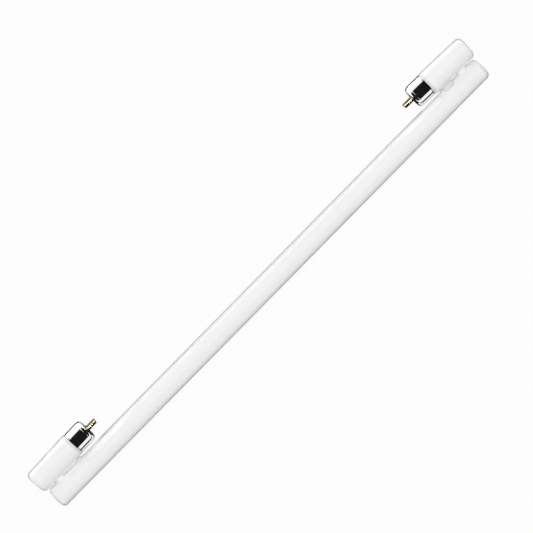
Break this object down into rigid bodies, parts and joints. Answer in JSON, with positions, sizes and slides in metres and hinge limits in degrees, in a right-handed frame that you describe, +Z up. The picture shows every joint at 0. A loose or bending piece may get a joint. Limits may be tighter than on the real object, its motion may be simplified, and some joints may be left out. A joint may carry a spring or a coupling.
{
  "type": "fluorescent tube",
  "caption": "Slim white fluorescent lamp: a long glass tube, closed at its ends, with short side tubes folded back beside it that carry polished metal caps with facing brass pins.",
  "frame": {"origin": "middle of the lamp's footprint, on the floor it lies on", "axes": "+X along the main tube, +Y from the main tube towards the side tubes, +Z up"},
  "size_m": [0.3952, 0.034, 0.0169],
  "materials": {
    "coated_glass": "clear glass over a white coat, glossy",
    "polished_cap": "polished",
    "insulator": "moulded resin",
    "cement": "matt",
    "pin_brass": "polished",
    "lead_wire": "drawn",
    "sealant": "satin, milky"
  },
  "bodies": {
    "root": {"glass_tube": "coated_glass", "left_cap_shell": "polished_cap", "left_cap_insulator": "insulator", "left_cap_cement": "cement", "left_upper_pin": "pin_brass", "left_lower_pin": "pin_brass", "left_upper_lead": "lead_wire", "left_lower_lead": "lead_wire", "left_support_dab": "sealant", "right_cap_shell": "polished_cap", "right_cap_insulator": "insulator", "right_cap_cement": "cement", "right_upper_pin": "pin_brass", "right_lower_pin": "pin_brass", "right_upper_lead": "lead_wire", "right_lower_lead": "lead_wire", "right_support_dab": "sealant"}
  },
  "joints": []
}
